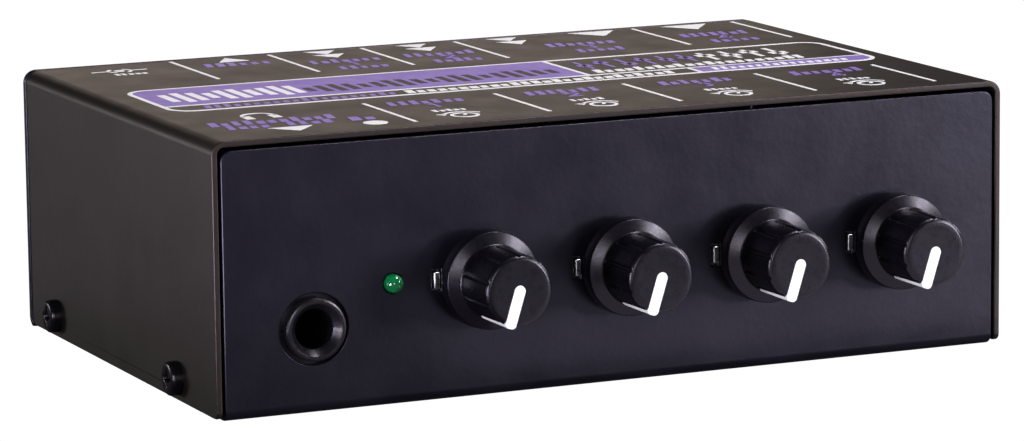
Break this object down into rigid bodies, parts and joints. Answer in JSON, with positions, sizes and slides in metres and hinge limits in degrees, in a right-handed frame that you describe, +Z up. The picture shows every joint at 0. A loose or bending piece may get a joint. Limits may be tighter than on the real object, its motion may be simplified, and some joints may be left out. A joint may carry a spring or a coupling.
{
  "type": "line mixer",
  "caption": "Compact desktop line mixer in a folded steel case, with a row of skirted level knobs, a power light and a headphone socket in front and sockets behind.",
  "frame": {"origin": "centre of the case's underside, in the plane it rests on", "axes": "+X to the right as the front is seen, along the case's width; -Y out of the front panel; +Z up"},
  "size_m": [0.144, 0.1154, 0.0445],
  "materials": {
    "chassis_paint": "satin powder coat",
    "cover_paint": "satin powder coat",
    "black_screw": "black zinc plating",
    "zinc": "bright zinc plating",
    "board_green": "solder mask over glass laminate",
    "phenolic": "phenolic laminate",
    "knob_plastic": "fine satin moulding",
    "pointer_white": "white moulded plastic",
    "led_green": "tinted clear epoxy",
    "tinned_wire": "tinned",
    "socket_black": "satin moulding",
    "spring_alloy": "bare",
    "nickel_plate": "nickel plating",
    "insert_white": "moulded",
    "insert_red": "moulded",
    "chip_black": "moulded epoxy",
    "capacitor_sleeve": "shrink sleeve",
    "resistor_beige": "lacquer"
  },
  "bodies": {
    "case": {"chassis": "chassis_paint", "cover": "cover_paint", "cover_screws": "black_screw", "clinch_nuts": "zinc", "board_posts": "zinc", "board_screws": "zinc", "main_board": "board_green", "pot_plates": "zinc", "pot_wafers": "phenolic", "pot_cans": "zinc", "pot_washers": "zinc", "pot_nuts": "zinc", "led_lens": "led_green", "led_leads": "tinned_wire", "led_holder": "socket_black", "phones_housing": "socket_black", "phones_contacts": "spring_alloy", "rear_jack_housings": "socket_black", "rear_jack_contacts": "spring_alloy", "mini_jack_housing": "socket_black", "mini_jack_contacts": "spring_alloy", "phono_housings": "socket_black", "phono_shells": "nickel_plate", "phono_inserts_white": "insert_white", "phono_inserts_red": "insert_red", "phono_contacts": "spring_alloy", "dc_housing": "socket_black", "dc_pin": "nickel_plate", "op_amps": "chip_black", "electrolytics": "capacitor_sleeve", "resistors": "resistor_beige", "regulator": "chip_black"},
    "level_knob_1": {"shaft_1": "zinc", "knob_1": "knob_plastic", "pointer_1": "pointer_white"},
    "level_knob_2": {"shaft_2": "zinc", "knob_2": "knob_plastic", "pointer_2": "pointer_white"},
    "level_knob_3": {"shaft_3": "zinc", "knob_3": "knob_plastic", "pointer_3": "pointer_white"},
    "level_knob_4": {"shaft_4": "zinc", "knob_4": "knob_plastic", "pointer_4": "pointer_white"}
  },
  "joints": [
    {"name": "level_turn_1", "type": "hinge", "parent": "case", "child": "level_knob_1", "pos_m": [-0.0246, -0.0456, 0.01955], "axis": [0, 1, 0], "range_deg": [0, 300]},
    {"name": "level_turn_2", "type": "hinge", "parent": "case", "child": "level_knob_2", "pos_m": [0.0001, -0.0456, 0.01955], "axis": [0, 1, 0], "range_deg": [0, 300]},
    {"name": "level_turn_3", "type": "hinge", "parent": "case", "child": "level_knob_3", "pos_m": [0.0248, -0.0456, 0.01955], "axis": [0, 1, 0], "range_deg": [0, 300]},
    {"name": "level_turn_4", "type": "hinge", "parent": "case", "child": "level_knob_4", "pos_m": [0.0495, -0.0456, 0.01955], "axis": [0, 1, 0], "range_deg": [0, 300]}
  ]
}
